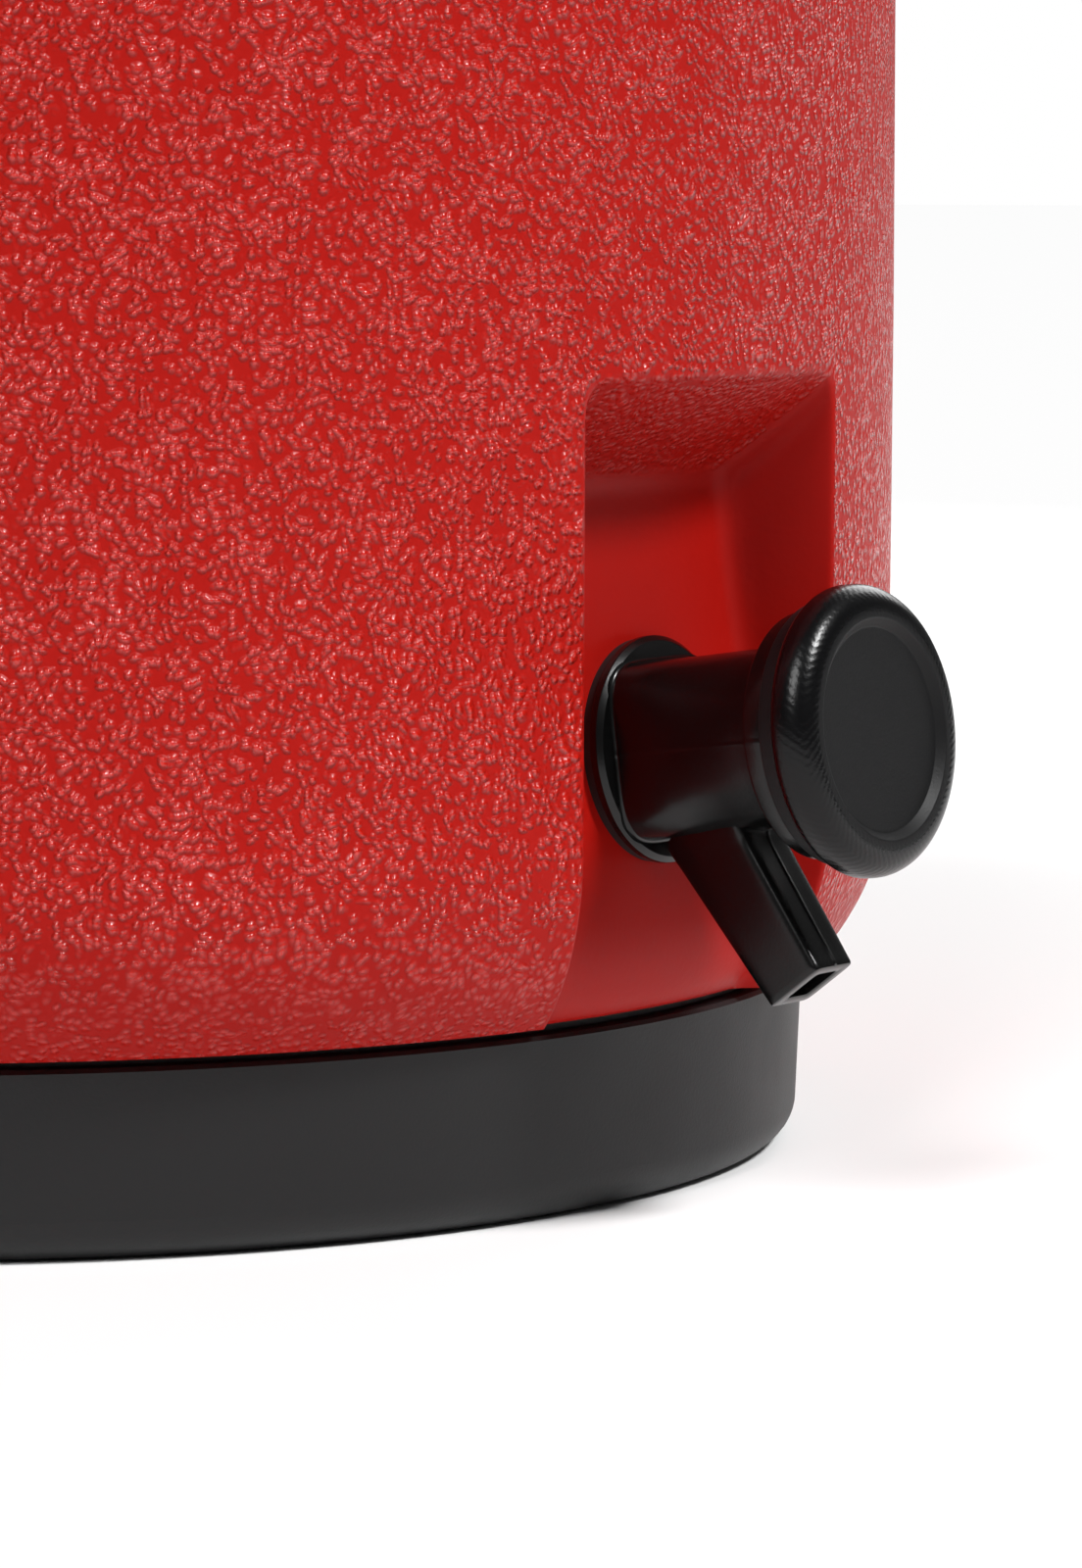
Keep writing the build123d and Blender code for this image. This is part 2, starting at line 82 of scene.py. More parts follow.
# %% A mesh from a grid of points
def grid_mesh(name, points, wrap_rows=False, sharp_deg=35, **fields):
    """A mesh piece whose vertices are points[row, column] and whose faces join neighbours.

    The last column joins the first, and wrap_rows joins the last row to the first too.
    fields are per-point numbers kept as attributes for the materials.
    """
    rows, columns = points.shape[:2]
    index = np.arange(rows * columns).reshape(rows, columns)
    if wrap_rows:
        index = np.vstack([index, index[:1]])
    index = np.hstack([index, index[:, :1]])
    corners = [index[:-1, :-1], index[:-1, 1:], index[1:, 1:], index[1:, :-1]]
    faces = np.stack(corners, axis=-1).reshape(-1, 4)
    mesh = bpy.data.meshes.new(name)
    mesh.from_pydata(points.reshape(-1, 3), [], faces)
    for field, values in fields.items():
        attribute = mesh.attributes.new(field, "FLOAT", "POINT")
        attribute.data.foreach_set("value", values.astype(np.float32).ravel())
    tidy = bmesh.new()
    tidy.from_mesh(mesh)
    bmesh.ops.remove_doubles(tidy, verts=tidy.verts, dist=1e-6)
    bmesh.ops.dissolve_degenerate(tidy, edges=tidy.edges, dist=1e-7)
    bmesh.ops.recalc_face_normals(tidy, faces=tidy.faces)
    tidy.to_mesh(mesh)
    tidy.free()
    mesh.shade_smooth()
    mesh.set_sharp_from_angle(angle=math.radians(sharp_deg))
    piece = bpy.data.objects.new(name, mesh)
    bpy.context.scene.collection.objects.link(piece)
    return piece


def finish_piece(piece, body, material, replaced=()):
    """Gives a new piece its body, its material and the CAD nodes it stands for."""
    piece.data.materials.append(material)
    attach(piece, body)
    if replaced:
        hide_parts(*replaced)
    print(piece.name, len(piece.data.polygons), "faces")
    return piece


# %% [markdown]
# Most of a cooler is turned: its section is an outline of a few corners, each with its own
# rounding. The outline is a chain of straight runs and tangent arcs, and the piece is that
# chain swept round an axis.

# %% Outlines with rounded corners, and turning them
def rounded(corners, closed=False, steps=7):
    """An outline through (x, y, radius) corners. Each corner is replaced by the arc of that
    radius that touches both its sides: it starts radius / tan(half the corner) from it."""
    points = []
    count = len(corners)
    for i, (x, y, radius) in enumerate(corners):
        here = np.array([x, y], float)
        if radius == 0 or (not closed and i in (0, count - 1)):
            points.append(here[None])
            continue
        before = np.array(corners[i - 1][:2], float) - here
        after = np.array(corners[(i + 1) % count][:2], float) - here
        before /= np.linalg.norm(before)
        after /= np.linalg.norm(after)
        half = np.arccos(np.clip(before @ after, -1, 1)) / 2
        middle = (before + after) / np.linalg.norm(before + after)
        centre = here + middle * radius / np.sin(half)
        start = here + before * radius / np.tan(half) - centre
        end = here + after * radius / np.tan(half) - centre
        turn = np.arctan2(start[0] * end[1] - start[1] * end[0], start @ end)
        angle = np.linspace(0, turn, steps)[:, None]
        side = np.array([-start[1], start[0]])
        points.append(centre + np.cos(angle) * start + np.sin(angle) * side)
    return np.vstack(points)


def turned(name, outline, segments, origin=(0, 0, 0), axis=(0, 0, 1)):
    """The surface that an outline of (radius, height) points makes about an axis.

    A point is origin + height * axis + radius * (cos(angle) * u + sin(angle) * v), where u
    and v are at right angles to the axis.
    """
    axis = np.array(axis, float) / np.linalg.norm(axis)
    u = np.cross(axis, (0.0, 0.0, 1.0)) if abs(axis[2]) < 0.9 else np.array([1.0, 0.0, 0.0])
    u /= np.linalg.norm(u)
    v = np.cross(axis, u)
    angle = np.linspace(0, 2 * np.pi, segments, endpoint=False)
    round_it = np.cos(angle)[:, None] * u + np.sin(angle)[:, None] * v
    points = (np.array(origin, float) + outline[:, 1, None, None] * axis
              + outline[:, 0, None, None] * round_it[None])
    return grid_mesh(name, points, wrap_rows=True)


# %% [markdown]
# Three small functions recur in the shapes below: a ramp between two values, a soft step that
# starts and ends level, and the superellipse, which goes from a circle at power 2 to a
# rounded rectangle at high powers.

# %% Ramps and superellipses
def ramp(value, start, span):
    """0 up to start, then rising evenly to 1 at start + span."""
    return np.clip((value - start) / span, 0, 1)


def soft_step(t):
    """A number from 0 to 1 made to leave and arrive level: t * t * (3 - 2 * t)."""
    return t * t * (3 - 2 * t)


def superellipse(angle, half_width, half_height, power):
    """The radius r at an angle where |r cos / half_width|^power + |r sin / half_height|^power = 1."""
    across = np.abs(np.cos(angle)) / half_width
    upward = np.abs(np.sin(angle)) / half_height
    return (across ** power + upward ** power) ** (-1 / power)


# %% [markdown]
# ## Materials
# The colours are sRGB hex values, which one function makes linear. One small function adds a
# node, sets it and links it, so that each material below reads as a short list.

# %% Colour and node helpers
def linear(hex_colour):
    """A linear RGBA colour from an sRGB hex value."""
    parts = [int(hex_colour[i:i + 2], 16) / 255 for i in (1, 3, 5)]
    return tuple(p / 12.92 if p <= 0.04045 else ((p + 0.055) / 1.055) ** 2.4 for p in parts) + (1.0,)


def new_material(name, colour, roughness, **settings):
    """A material with one Principled shader, and its tree, shader and Object coordinates."""
    material = bpy.data.materials.new(name)
    material.use_nodes = True
    tree = material.node_tree
    shader = tree.nodes["Principled BSDF"]
    shader.inputs["Base Color"].default_value = linear(colour)
    shader.inputs["Roughness"].default_value = roughness
    for socket, value in settings.items():
        shader.inputs[socket.replace("_", " ")].default_value = value
    place = tree.nodes.new("ShaderNodeTexCoord").outputs["Object"]
    return material, tree, shader, place


def add(tree, kind, inputs=None, **settings):
    """Adds a node, sets its options, and sets or links its inputs by name or number."""
    node = tree.nodes.new("ShaderNode" + kind)
    for option, value in settings.items():
        setattr(node, option, value)
    for socket, value in (inputs or {}).items():
        if isinstance(value, bpy.types.NodeSocket):
            tree.links.new(value, node.inputs[socket])
        else:
            node.inputs[socket].default_value = value
    return node


# %% [markdown]
# ### Moulded polyethylene, red
# The shell is one moulded polyethylene tank. Its mould is etched, which leaves glossy beads
# about 1.4 mm apart on a flat ground. Some stand alone and some run together like short
# worms. Each bead is a dome about the middle of a Voronoi cell: its height is a smooth step
# of the distance from that middle. A slower noise bends and stretches the cells, and another
# makes the beads larger here and there. The tops are glossier than the ground between them.
# The shell's mesh carries a "grain" number: 1 on the etched skin, less towards the foot and
# on the recess's roof, and 0 in the rest of the recess, which is polished. The ground between
# the beads is painted a darker red than their tops, as painted shade in the valleys, so where
# the grain is low the surface takes more of this painted shade.

# %% The red shell's material
bead_mm = 1.40               # from one bead to the next
bead_height_mm = 0.66        # at full grain
bead_bend_m = 0.0024         # how far the slow noise moves a bead
ripple_mm = 1.3              # the finer skin inside the recess and on the foot


def per_metre(size_mm):
    """The texture scale that repeats once in size_mm, on coordinates in metres."""
    return 1000.0 / size_mm


def red_polyethylene():
    """Beads as domes about the middles of bent Voronoi cells, with a finer wrinkle over all, and painted shade:
    the ground between the beads is coloured darker than their tops.
    """
    material, tree, shader, place = new_material("red_polyethylene", "#A01115", 0.34, IOR=1.51)
    drift = add(tree, "TexNoise", {"Vector": place, "Scale": per_metre(6.0), "Detail": 1.0})
    lean = add(tree, "VectorMath", {0: drift.outputs["Color"], 1: (0.5, 0.5, 0.5)}, operation="SUBTRACT")
    bent = add(tree, "VectorMath", {0: lean.outputs[0], 1: (bead_bend_m,) * 3, 2: place},
               operation="MULTIPLY_ADD")
    cells = add(tree, "TexVoronoi", {"Vector": bent.outputs[0], "Scale": per_metre(bead_mm),
                                     "Smoothness": 0.22, "Randomness": 0.95}, feature="SMOOTH_F1")
    cloud = add(tree, "TexNoise", {"Vector": place, "Scale": per_metre(9.0), "Detail": 1.0})
    reach = add(tree, "MapRange", {"Value": cloud.outputs[0], "From Min": 0.3, "From Max": 0.7,
                                   "To Min": 0.60, "To Max": 0.78})
    bead = add(tree, "MapRange", {"Value": cells.outputs["Distance"], "From Min": 0.13,
                                  "From Max": reach.outputs[0], "To Min": 1.0, "To Max": 0.0},
               interpolation_type="SMOOTHSTEP")
    grain = add(tree, "Attribute", attribute_name="grain")
    height = add(tree, "Math", {0: bead.outputs[0], 1: grain.outputs["Fac"]}, operation="MULTIPLY")
    bump = add(tree, "Bump", {"Height": height.outputs[0], "Distance": bead_height_mm * mm,
                              "Strength": 1.0})
    wrinkle = add(tree, "TexNoise", {"Vector": bent.outputs[0], "Scale": per_metre(ripple_mm),
                                     "Detail": 2.0})
    soft = add(tree, "Bump", {"Height": wrinkle.outputs[0], "Distance": 0.06 * mm, "Strength": 0.7,
                              "Normal": bump.outputs[0]})
    tree.links.new(soft.outputs[0], shader.inputs["Normal"])
    # Painted shade: the colour runs from a darker red on the low ground between the beads to a lighter red on
    # their tops.
    tint = add(tree, "ValToRGB", {"Fac": height.outputs[0]})
    tint.color_ramp.elements[0].color = linear("#A40F07")
    tint.color_ramp.elements[1].color = linear("#C0190C")
    tree.links.new(tint.outputs[0], shader.inputs["Base Color"])
    rough = add(tree, "MapRange", {"Value": height.outputs[0], "To Min": 0.46, "To Max": 0.16})
    tree.links.new(rough.outputs[0], shader.inputs["Roughness"])
    shine = add(tree, "MapRange", {"Value": height.outputs[0], "To Min": 0.12, "To Max": 0.75})
    tree.links.new(shine.outputs[0], shader.inputs["Specular IOR Level"])
    return material


red = red_polyethylene()


# %% [markdown]
# ### Moulded black plastics
# The base, lid and handles are textured polypropylene: a fine etched grain makes them satin.
# The tap is acetal, a denser and glossier plastic. Both are the same kind of recipe, so one
# function makes them: a fine grain in the normal, and slow clouds in colour and roughness.

# %% Black plastics, white liner, foam and rubber
def moulded(name, colour, other_colour, roughness, grain_mm, depth_mm, ior=1.49, **settings):
    """A moulded plastic or rubber with an even etched grain of grain_mm."""
    material, tree, shader, place = new_material(name, colour, roughness, IOR=ior, **settings)
    grain = add(tree, "TexNoise", {"Vector": place, "Scale": per_metre(grain_mm), "Detail": 3.0})
    bump = add(tree, "Bump", {"Height": grain.outputs[0], "Distance": depth_mm * mm, "Strength": 1.0})
    tree.links.new(bump.outputs[0], shader.inputs["Normal"])
    cloud = add(tree, "TexNoise", {"Vector": place, "Scale": per_metre(35.0), "Detail": 4.0})
    tint = add(tree, "ValToRGB", {"Fac": cloud.outputs[0]})
    tint.color_ramp.elements[0].position, tint.color_ramp.elements[1].position = 0.3, 0.7
    tint.color_ramp.elements[0].color = linear(colour)
    tint.color_ramp.elements[1].color = linear(other_colour)
    tree.links.new(tint.outputs[0], shader.inputs["Base Color"])
    rough = add(tree, "MapRange", {"Value": cloud.outputs[0], "From Min": 0.3, "From Max": 0.7,
                                   "To Min": roughness - 0.04, "To Max": roughness + 0.05})
    tree.links.new(rough.outputs[0], shader.inputs["Roughness"])
    return material


base_plastic = moulded("black_polypropylene", "#0A0A0B", "#0E0E0F", 0.52, 0.55, 0.05, ior=1.43)
lid_plastic = moulded("black_polypropylene_lid", "#242425", "#29292A", 0.50, 0.8, 0.08)
handle_plastic = moulded("black_nylon", "#1E1E1F", "#232324", 0.44, 0.7, 0.07)
tap_plastic = moulded("black_acetal", "#040404", "#060606", 0.24, 0.6, 0.010, ior=1.42)
white_plastic = moulded("white_polyethylene", "#E6E5DF", "#EBEAE5", 0.30, 1.2, 0.02)
foam_plastic = moulded("cream_polyurethane_foam", "#D8C68F", "#E0D09C", 0.85, 1.4, 0.35)
seal_rubber = moulded("black_silicone_rubber", "#161617", "#1A1A1B", 0.55, 0.6, 0.02, ior=1.43)
tyre_rubber = moulded("black_thermoplastic_rubber", "#1B1B1B", "#222222", 0.72, 0.5, 0.08, ior=1.52)
hub_plastic = moulded("grey_nylon", "#4A4B4D", "#525355", 0.42, 0.7, 0.05)


# %% [markdown]
# ### Metals
# The pull handle's tubes are anodised aluminium, drawn along their length, which leaves fine
# lines that way. The axles and screws are zinc-plated steel, with a soft crystalline cloud.

# %% Aluminium, zinc and spring steel
def drawn_metal(name, colour, roughness, line_mm, along_mm, depth_mm):
    """A metal with lines along Z, line_mm apart and along_mm long."""
    material, tree, shader, place = new_material(name, colour, roughness, Metallic=1.0)
    stretch = add(tree, "Mapping", {"Vector": place, "Scale": (per_metre(line_mm), per_metre(line_mm),
                                                               per_metre(along_mm))})
    lines = add(tree, "TexNoise", {"Vector": stretch.outputs[0], "Scale": 1.0, "Detail": 3.0})
    bump = add(tree, "Bump", {"Height": lines.outputs[0], "Distance": depth_mm * mm, "Strength": 1.0})
    rough = add(tree, "MapRange", {"Value": lines.outputs[0], "To Min": roughness - 0.08,
                                   "To Max": roughness + 0.10})
    tree.links.new(bump.outputs[0], shader.inputs["Normal"])
    tree.links.new(rough.outputs[0], shader.inputs["Roughness"])
    return material


aluminium = drawn_metal("satin_anodised_aluminium", "#C9CACC", 0.34, 0.35, 40.0, 0.006)
zinc = drawn_metal("zinc_plated_steel", "#B4B7BB", 0.36, 1.2, 1.6, 0.010)
spring_steel = drawn_metal("drawn_stainless_wire", "#B9B8B5", 0.28, 0.4, 3.0, 0.004)

slot_materials = {
    "body_red": red, "base_black": base_plastic, "tap_black": tap_plastic, "lid_black": lid_plastic,
    "handle_black": handle_plastic, "liner_white": white_plastic, "foam_cream": foam_plastic,
    "seal_rubber": seal_rubber, "tyre_rubber": tyre_rubber, "hub_grey": hub_plastic,
    "tube_aluminium": aluminium, "zinc_steel": zinc, "spring_steel": spring_steel,
}
for row in frame["record"]["subparts"]:
    node_mesh = frame["nodes"][row["node"]].data
    node_mesh.materials.clear()
    node_mesh.materials.append(slot_materials[row["material_slot"]])
print(len(slot_materials), "materials on", len(frame["nodes"]), "CAD nodes")


# %% [markdown]
# ## The shell
# The shell is a drum with a rounded foot and a channel in its front for the tap. It could be
# cut with booleans, but a mould's soft corners are easier to get from distances. At a point,
# each wall of the channel is a signed distance, negative on the open side. The largest of
# them, blended where two are nearly equal, is the channel with rounded inner corners. The
# drum minus the channel, blended more tightly, gives the edge. The channel's floor is the
# leaning back that carries the tap or, lower down, the drum's own face moved a little
# inwards. The two are blended before they meet the walls, so that this blend can't move the
# walls. For each direction round the
# axis and each height, the surface is the radius at which that distance is zero.

# %% The shell's form as a distance
shell_low, shell_high = box("outer_shell")
washer_low, washer_high = box("tap_outer_washer")
tap_out = -np.array(joint("button_press")["axis"], float)
tap_out /= np.linalg.norm(tap_out)
washer_t = 1.5 * mm
tap_foot = (washer_low + washer_high) / 2 - tap_out * washer_t / 2

body_r = shell_high[0]
body_top_z, body_bottom_z = shell_high[2], shell_low[2]
body_low_r, body_low_z, body_draft_z = body_r - 0.5 * mm, 60 * mm, 142 * mm
foot_arc_r, top_corner_r, wall = 42 * mm, 8 * mm, 3 * mm
foot_arc_centre = body_low_r - foot_arc_r

recess_half_width, recess_side_draft = 28.8 * mm, math.radians(23)
recess_roof_inner_z, recess_roof_outer_z = 115 * mm, 131.3 * mm
recess_floor_inset = 2.8 * mm
well_past_recess = 60 * mm
roof_blend, back_blend, floor_blend, edge_blend = 4.6 * mm, 3.0 * mm, 6.0 * mm, 0.8 * mm


def blend_max(a, b, width):
    """The larger of two distances, with the crease between them rounded over width."""
    near = np.maximum(width - np.abs(a - b), 0)
    return np.maximum(a, b) + near**2 / (4 * width)


def blend_min(a, b, width):
    """The smaller of two distances, rounded in the same way."""
    return -blend_max(-a, -b, width)


def drum_distance(radius, z):
    """Signed distance to the drum without its recess, negative inside."""
    side_r = body_low_r + (body_r - body_low_r) * ramp(z, body_low_z, body_draft_z - body_low_z)
    foot = np.hypot(radius - foot_arc_centre, z - body_low_z) - foot_arc_r
    return np.where(z < body_low_z, foot, radius - side_r)


def channel_walls(radius, theta, z):
    """Signed distances to the channel's side wall, roof and leaning back. The roof rises from
    a level line at the back to a level line on the drum, so its slope changes with x."""
    x, y = np.abs(radius * np.sin(theta)), -radius * np.cos(theta)
    back = (y - tap_foot[1]) * -tap_out[1] + (z - tap_foot[2]) * -tap_out[2]
    drafted_x = recess_half_width + (tap_foot[1] - y) * math.tan(recess_side_draft)
    side = (x - drafted_x) * math.cos(recess_side_draft)
    roof_foot_y = tap_foot[1] + (recess_roof_inner_z - tap_foot[2]) * tap_out[2] / -tap_out[1]
    drum_y = -np.sqrt(body_r**2 - np.minimum(x, well_past_recess)**2)
    slope = (recess_roof_outer_z - recess_roof_inner_z) / (roof_foot_y - drum_y)
    roof = (z - recess_roof_inner_z - (roof_foot_y - y) * slope) / np.hypot(1, slope)
    return side, roof, back


def channel_distance(radius, theta, z):
    """Signed distance to the tap's channel, negative in the open channel."""
    side, roof, back = channel_walls(radius, theta, z)
    floor = blend_min(back, -(drum_distance(radius, z) + recess_floor_inset), floor_blend)
    return blend_max(blend_max(side, roof, roof_blend), floor, back_blend)


def shell_radius(theta, z, inset):
    """The radius, in each direction and at each height, where the shell's surface lies, or a
    surface inset from it. Halving 50 mm 34 times finds it far closer than a micrometre."""
    inner, outer = (np.full(np.broadcast(theta, z).shape, r) for r in (0.110, 0.160))
    for _ in range(34):
        middle = (inner + outer) / 2
        form = blend_max(drum_distance(middle, z), -channel_distance(middle, theta, z), edge_blend)
        solid = form < -inset
        inner, outer = np.where(solid, middle, inner), np.where(solid, outer, middle)
    return (inner + outer) / 2


# %% [markdown]
# The grid's lines crowd where the form turns quickly: at the channel's two side walls and at
# its roof. The rows go up the outside, over the deck, down into the mouth, back down the
# inside of the wall and in along the foot, so that the shell is one closed skin.

# %% The shell's mesh
def crowded(stops):
    """Values through (value, step) stops: each stretch is divided at its own step."""
    parts = [np.linspace(a, b, max(int(round((b - a) / step)), 1), endpoint=False)
             for (a, step), (b, _) in zip(stops[:-1], stops[1:])]
    return np.concatenate(parts + [[stops[-1][0]]])


theta_half = crowded([(0, 0.7), (10.0, 0.16), (11.8, 0.05), (13.5, 0.3), (16, 2.0), (180, 2.0)])[:-1]
theta = np.radians(np.concatenate([-theta_half[:0:-1], theta_half]))
side_z = mm * crowded([(body_bottom_z / mm, 0.5), (36, 1.2), (60, 4.0), (108, 0.8), (113, 0.35), (129, 0.16),
                       (133, 1.5), (146, 12.0), (body_top_z / mm - 8, 12.0)])
inner_z = mm * crowded([((body_bottom_z + wall) / mm, 2.0), (60, 5.0), (108, 1.5), (134, 6.0), (146, 24.0),
                        (body_top_z / mm - 8, 24.0)])
mouth_r = 127.3 * mm
turn = np.linspace(0, np.pi / 2, 9)[1:]


def shell_rows(heights, inset):
    """Rows of (radius, height, direction) points up one side of the wall."""
    grid_theta, grid_z = np.meshgrid(theta, heights)
    return np.dstack([shell_radius(grid_theta, grid_z, inset), grid_z])


def flat_rows(radii_and_heights):
    """The same (radius, height) in every direction, for rows that the recess doesn't reach."""
    rows = np.array(radii_and_heights, float)
    return np.repeat(rows[:, None, :], len(theta), axis=1)


outside = shell_rows(side_z, 0.0)
inside = shell_rows(inner_z, wall)
corner = np.column_stack([body_r - top_corner_r + top_corner_r * np.cos(turn),
                          body_top_z - top_corner_r + top_corner_r * np.sin(turn)])
deck = flat_rows(np.vstack([corner, [[mouth_r, body_top_z], [mouth_r, body_top_z - wall],
                                     [body_r - top_corner_r, body_top_z - wall]]]))
foot_opening_r = 112 * mm
share = np.linspace(0, 1, 6)[:-1, None, None]
under = outside[:1].repeat(5, axis=0)
under[:, :, :1] = foot_opening_r + (under[:, :, :1] - foot_opening_r) * share
above = inside[:1].repeat(5, axis=0)
above[:, :, :1] = foot_opening_r + (above[:, :, :1] - foot_opening_r) * share
section = np.concatenate([under, outside, deck, inside[::-1], above[::-1]])
section_r, section_z = section[:, :, 0], section[:, :, 1]
shell_points = np.dstack([section_r * np.sin(theta), -section_r * np.cos(theta), section_z])

foot_grain, roof_grain = 0.55, 0.45
reach = channel_distance(section_r, theta[None, :], section_z)
on_skin = ramp(reach, 0.35 * mm, 0.5 * mm) + (section_z > 150 * mm)
side, roof, back = channel_walls(section_r, theta[None, :], section_z)
on_roof = (np.abs(roof) < 0.6 * mm) * ramp(-side, 1.0 * mm, 1.0 * mm) * ramp(-back, 1.0 * mm, 1.0 * mm)
fade = foot_grain + (1 - foot_grain) * ramp(section_z, 38 * mm, 14 * mm)
grain_field = np.maximum(np.clip(on_skin, 0, 1) * fade, roof_grain * on_roof)
grain_field[:len(under)] = 0

shell = grid_mesh("shell_skin", shell_points, wrap_rows=True, sharp_deg=50, grain=grain_field)
finish_piece(shell, "root", red, ["outer_shell"])


# %% [markdown]
# ## The tap
# The tap's parts share one axis, which leans back with the recess. Distances along it start
# at the recess wall. The flange and collar are turned. The barrel between them is a
# superellipse: nearly square at the flange, where the mould's flats start, and round at the
# collar.

# %% Flange, barrel and collar
sideways = np.array([1.0, 0.0, 0.0])
tap_up = np.cross(sideways, tap_out)
tap_up *= np.sign(tap_up[2])


def about_tap(name, radius, along, angle, **options):
    """A surface of points at a radius from the tap's axis, a distance along it and an angle
    round it: foot + along * out + radius * (cos(angle) * sideways + sin(angle) * up)."""
    radial = np.cos(angle)[..., None] * sideways + np.sin(angle)[..., None] * tap_up
    points = tap_foot + along[..., None] * tap_out + radius[..., None] * radial
    return grid_mesh(name, points, wrap_rows=True, **options)


def tap_body():
    """An outline turned about the tap's axis. On the barrel its radius is multiplied by a
    superellipse whose power falls from 4.6 at the flange to 2, a circle, by a bell curve of
    the distance along. Two parting lines stand up as bell curves of the distance round."""
    seam_height, seam_half_width, seam_r, flange_z = 0.14 * mm, 0.25 * mm, 19 * mm, 3.5 * mm
    outline = mm * rounded([
        (7.5, -31, 0.3), (10.8, -31, 0.8), (10.8, 1.5, 0), (17.9, 1.5, 0.2), (17.9, 2.7, 0.35),
        (17.0, 3.5, 0.35), (14.0, 3.5, 0.7), (13.9, 6, 0), (13.9, 9, 0), (13.9, 12, 0),
        (14.0, 16, 0), (14.1, 21, 0), (14.1, 26, 0), (14.0, 31, 0.5), (19.2, 31, 0.45),
        (19.15, 35.3, 0.7), (9, 35.3, 0.5), (9, 22, 0.3), (3.1, 22, 0.2), (3.1, 19, 0.2),
        (11, 19, 0.4), (11, 3.2, 0.4), (7.5, 3.2, 0.4)], closed=True)
    angle = np.linspace(0, 2 * np.pi, 240, endpoint=False)[None, :]
    radius, along = outline[:, :1], outline[:, 1:]
    barrel = (radius > 13 * mm) & (radius < 15.4 * mm) & (along > 3 * mm) & (along < 31.2 * mm)
    power = 2 + 2.6 * np.exp(-((along - flange_z) / (8 * mm)) ** 2)
    radius = radius * np.where(barrel, superellipse(angle, 1, 1, power), 1)
    seam = seam_height * np.exp(-(np.sin(angle) * seam_r / seam_half_width) ** 2)
    radius = radius + seam * (barrel | (radius > 19 * mm))
    return about_tap("tap_moulding", radius, along + 0 * angle, angle + 0 * radius, sharp_deg=40)


finish_piece(tap_body(), "root", tap_plastic, ["tap_body"])


# %% [markdown]
# The nozzle is a rounded-rectangle tube that hangs forward from the barrel. Its section is a
# superellipse of high power, swept along a straight line. Close to the barrel it flares by a
# falling exponential of its distance from the barrel, which is the fillet between the two.
# The mould's parting line runs down the middle of its front.

# %% Nozzle
def nozzle():
    """Points tip + length * up + r(angle) * (cos * sideways + sin * across), where r is a
    superellipse of power 9. On the outside r grows by a bell curve along the front's middle,
    and by a falling exponential of the gap to the barrel."""
    tilt_down, power, barrel_r = math.radians(37), 9.0, 14.2 * mm
    fillet, seam_height, seam_half_width = 0.9 * mm, 0.16 * mm, 0.28 * mm
    tip = np.array([0, -169.75, 37.35]) * mm
    up = np.array([0, math.sin(tilt_down), math.cos(tilt_down)])
    across = np.array([0, -math.cos(tilt_down), math.sin(tilt_down)])
    outside = [(31.0, 5.8, 7.1), (26.0, 5.72, 6.9)] + [(t, 5.3 + 0.016 * t, 5.6 + 0.05 * t)
                                                     for t in np.linspace(24, 0.5, 34)]
    lip = [(0.12, 5.2, 5.5), (0.0, 4.95, 5.25), (0.0, 3.1, 3.7), (0.15, 2.85, 3.45)]
    inside = [(1.0, 2.8, 3.4), (8.0, 2.8, 3.4), (16.0, 2.8, 3.4), (30.0, 2.8, 3.4)]
    rows = mm * np.array(outside + lip + inside)
    length, half_width, half_depth = rows[:, 0, None], rows[:, 1, None], rows[:, 2, None]
    angle = np.linspace(0, 2 * np.pi, 220, endpoint=False)
    angle = (angle + 0.10 * np.sin(4 * angle))[None, :]
    reach = superellipse(angle, half_width, half_depth, power)
    is_outside = (np.arange(len(rows)) < len(outside))[:, None]
    middle = np.exp(-(reach * np.cos(angle) / seam_half_width) ** 2) * (np.sin(angle) > 0)
    reach = reach + seam_height * middle * is_outside

    def points_at(reach):
        """The grid's points for a radius at each row and angle."""
        return (tip + length[..., None] * up + (reach * np.cos(angle))[..., None] * sideways
                + (reach * np.sin(angle))[..., None] * across)

    out_of_barrel = points_at(reach) - tap_foot
    out_of_barrel -= (out_of_barrel @ tap_out)[..., None] * tap_out
    clear = np.maximum(np.linalg.norm(out_of_barrel, axis=-1) - barrel_r, 0)
    reach = reach + fillet * np.exp(-clear / fillet) * is_outside
    return grid_mesh("tap_nozzle", points_at(reach), wrap_rows=True, sharp_deg=40)


finish_piece(nozzle(), "root", tap_plastic)


# %% [markdown]
# The push button is a thin cap whose rim is a fat roll. The roll's skin has a chevron grain,
# so the mesh carries a "rim" number and the angle round the axis for its material.

# %% Push button
def chevron_plastic():
    """Black acetal with a herringbone of fine ribs on the rim: ribs slant one way on the outer
    half of the roll and the other way on the inner half, which a folded phase gives."""
    material, tree, shader, place = new_material("black_acetal_button", "#040405", 0.34, IOR=1.35)
    phase = add(tree, "Attribute", attribute_name="phase")
    rim = add(tree, "Attribute", attribute_name="rim")
    wave = add(tree, "Math", {0: phase.outputs["Fac"]}, operation="SINE")
    ribs = add(tree, "Math", {0: wave.outputs[0], 1: rim.outputs["Fac"]}, operation="MULTIPLY")
    bump = add(tree, "Bump", {"Height": ribs.outputs[0], "Distance": 0.007 * mm, "Strength": 1.0})
    grain = add(tree, "TexNoise", {"Vector": place, "Scale": per_metre(0.45), "Detail": 2.0})
    fine = add(tree, "Bump", {"Height": grain.outputs[0], "Distance": 0.03 * mm, "Strength": 1.0,
                              "Normal": bump.outputs[0]})
    tree.links.new(fine.outputs[0], shader.inputs["Normal"])
    rough = add(tree, "MapRange", {"Value": rim.outputs["Fac"], "To Min": 0.50, "To Max": 0.26})
    tree.links.new(rough.outputs[0], shader.inputs["Roughness"])
    return material


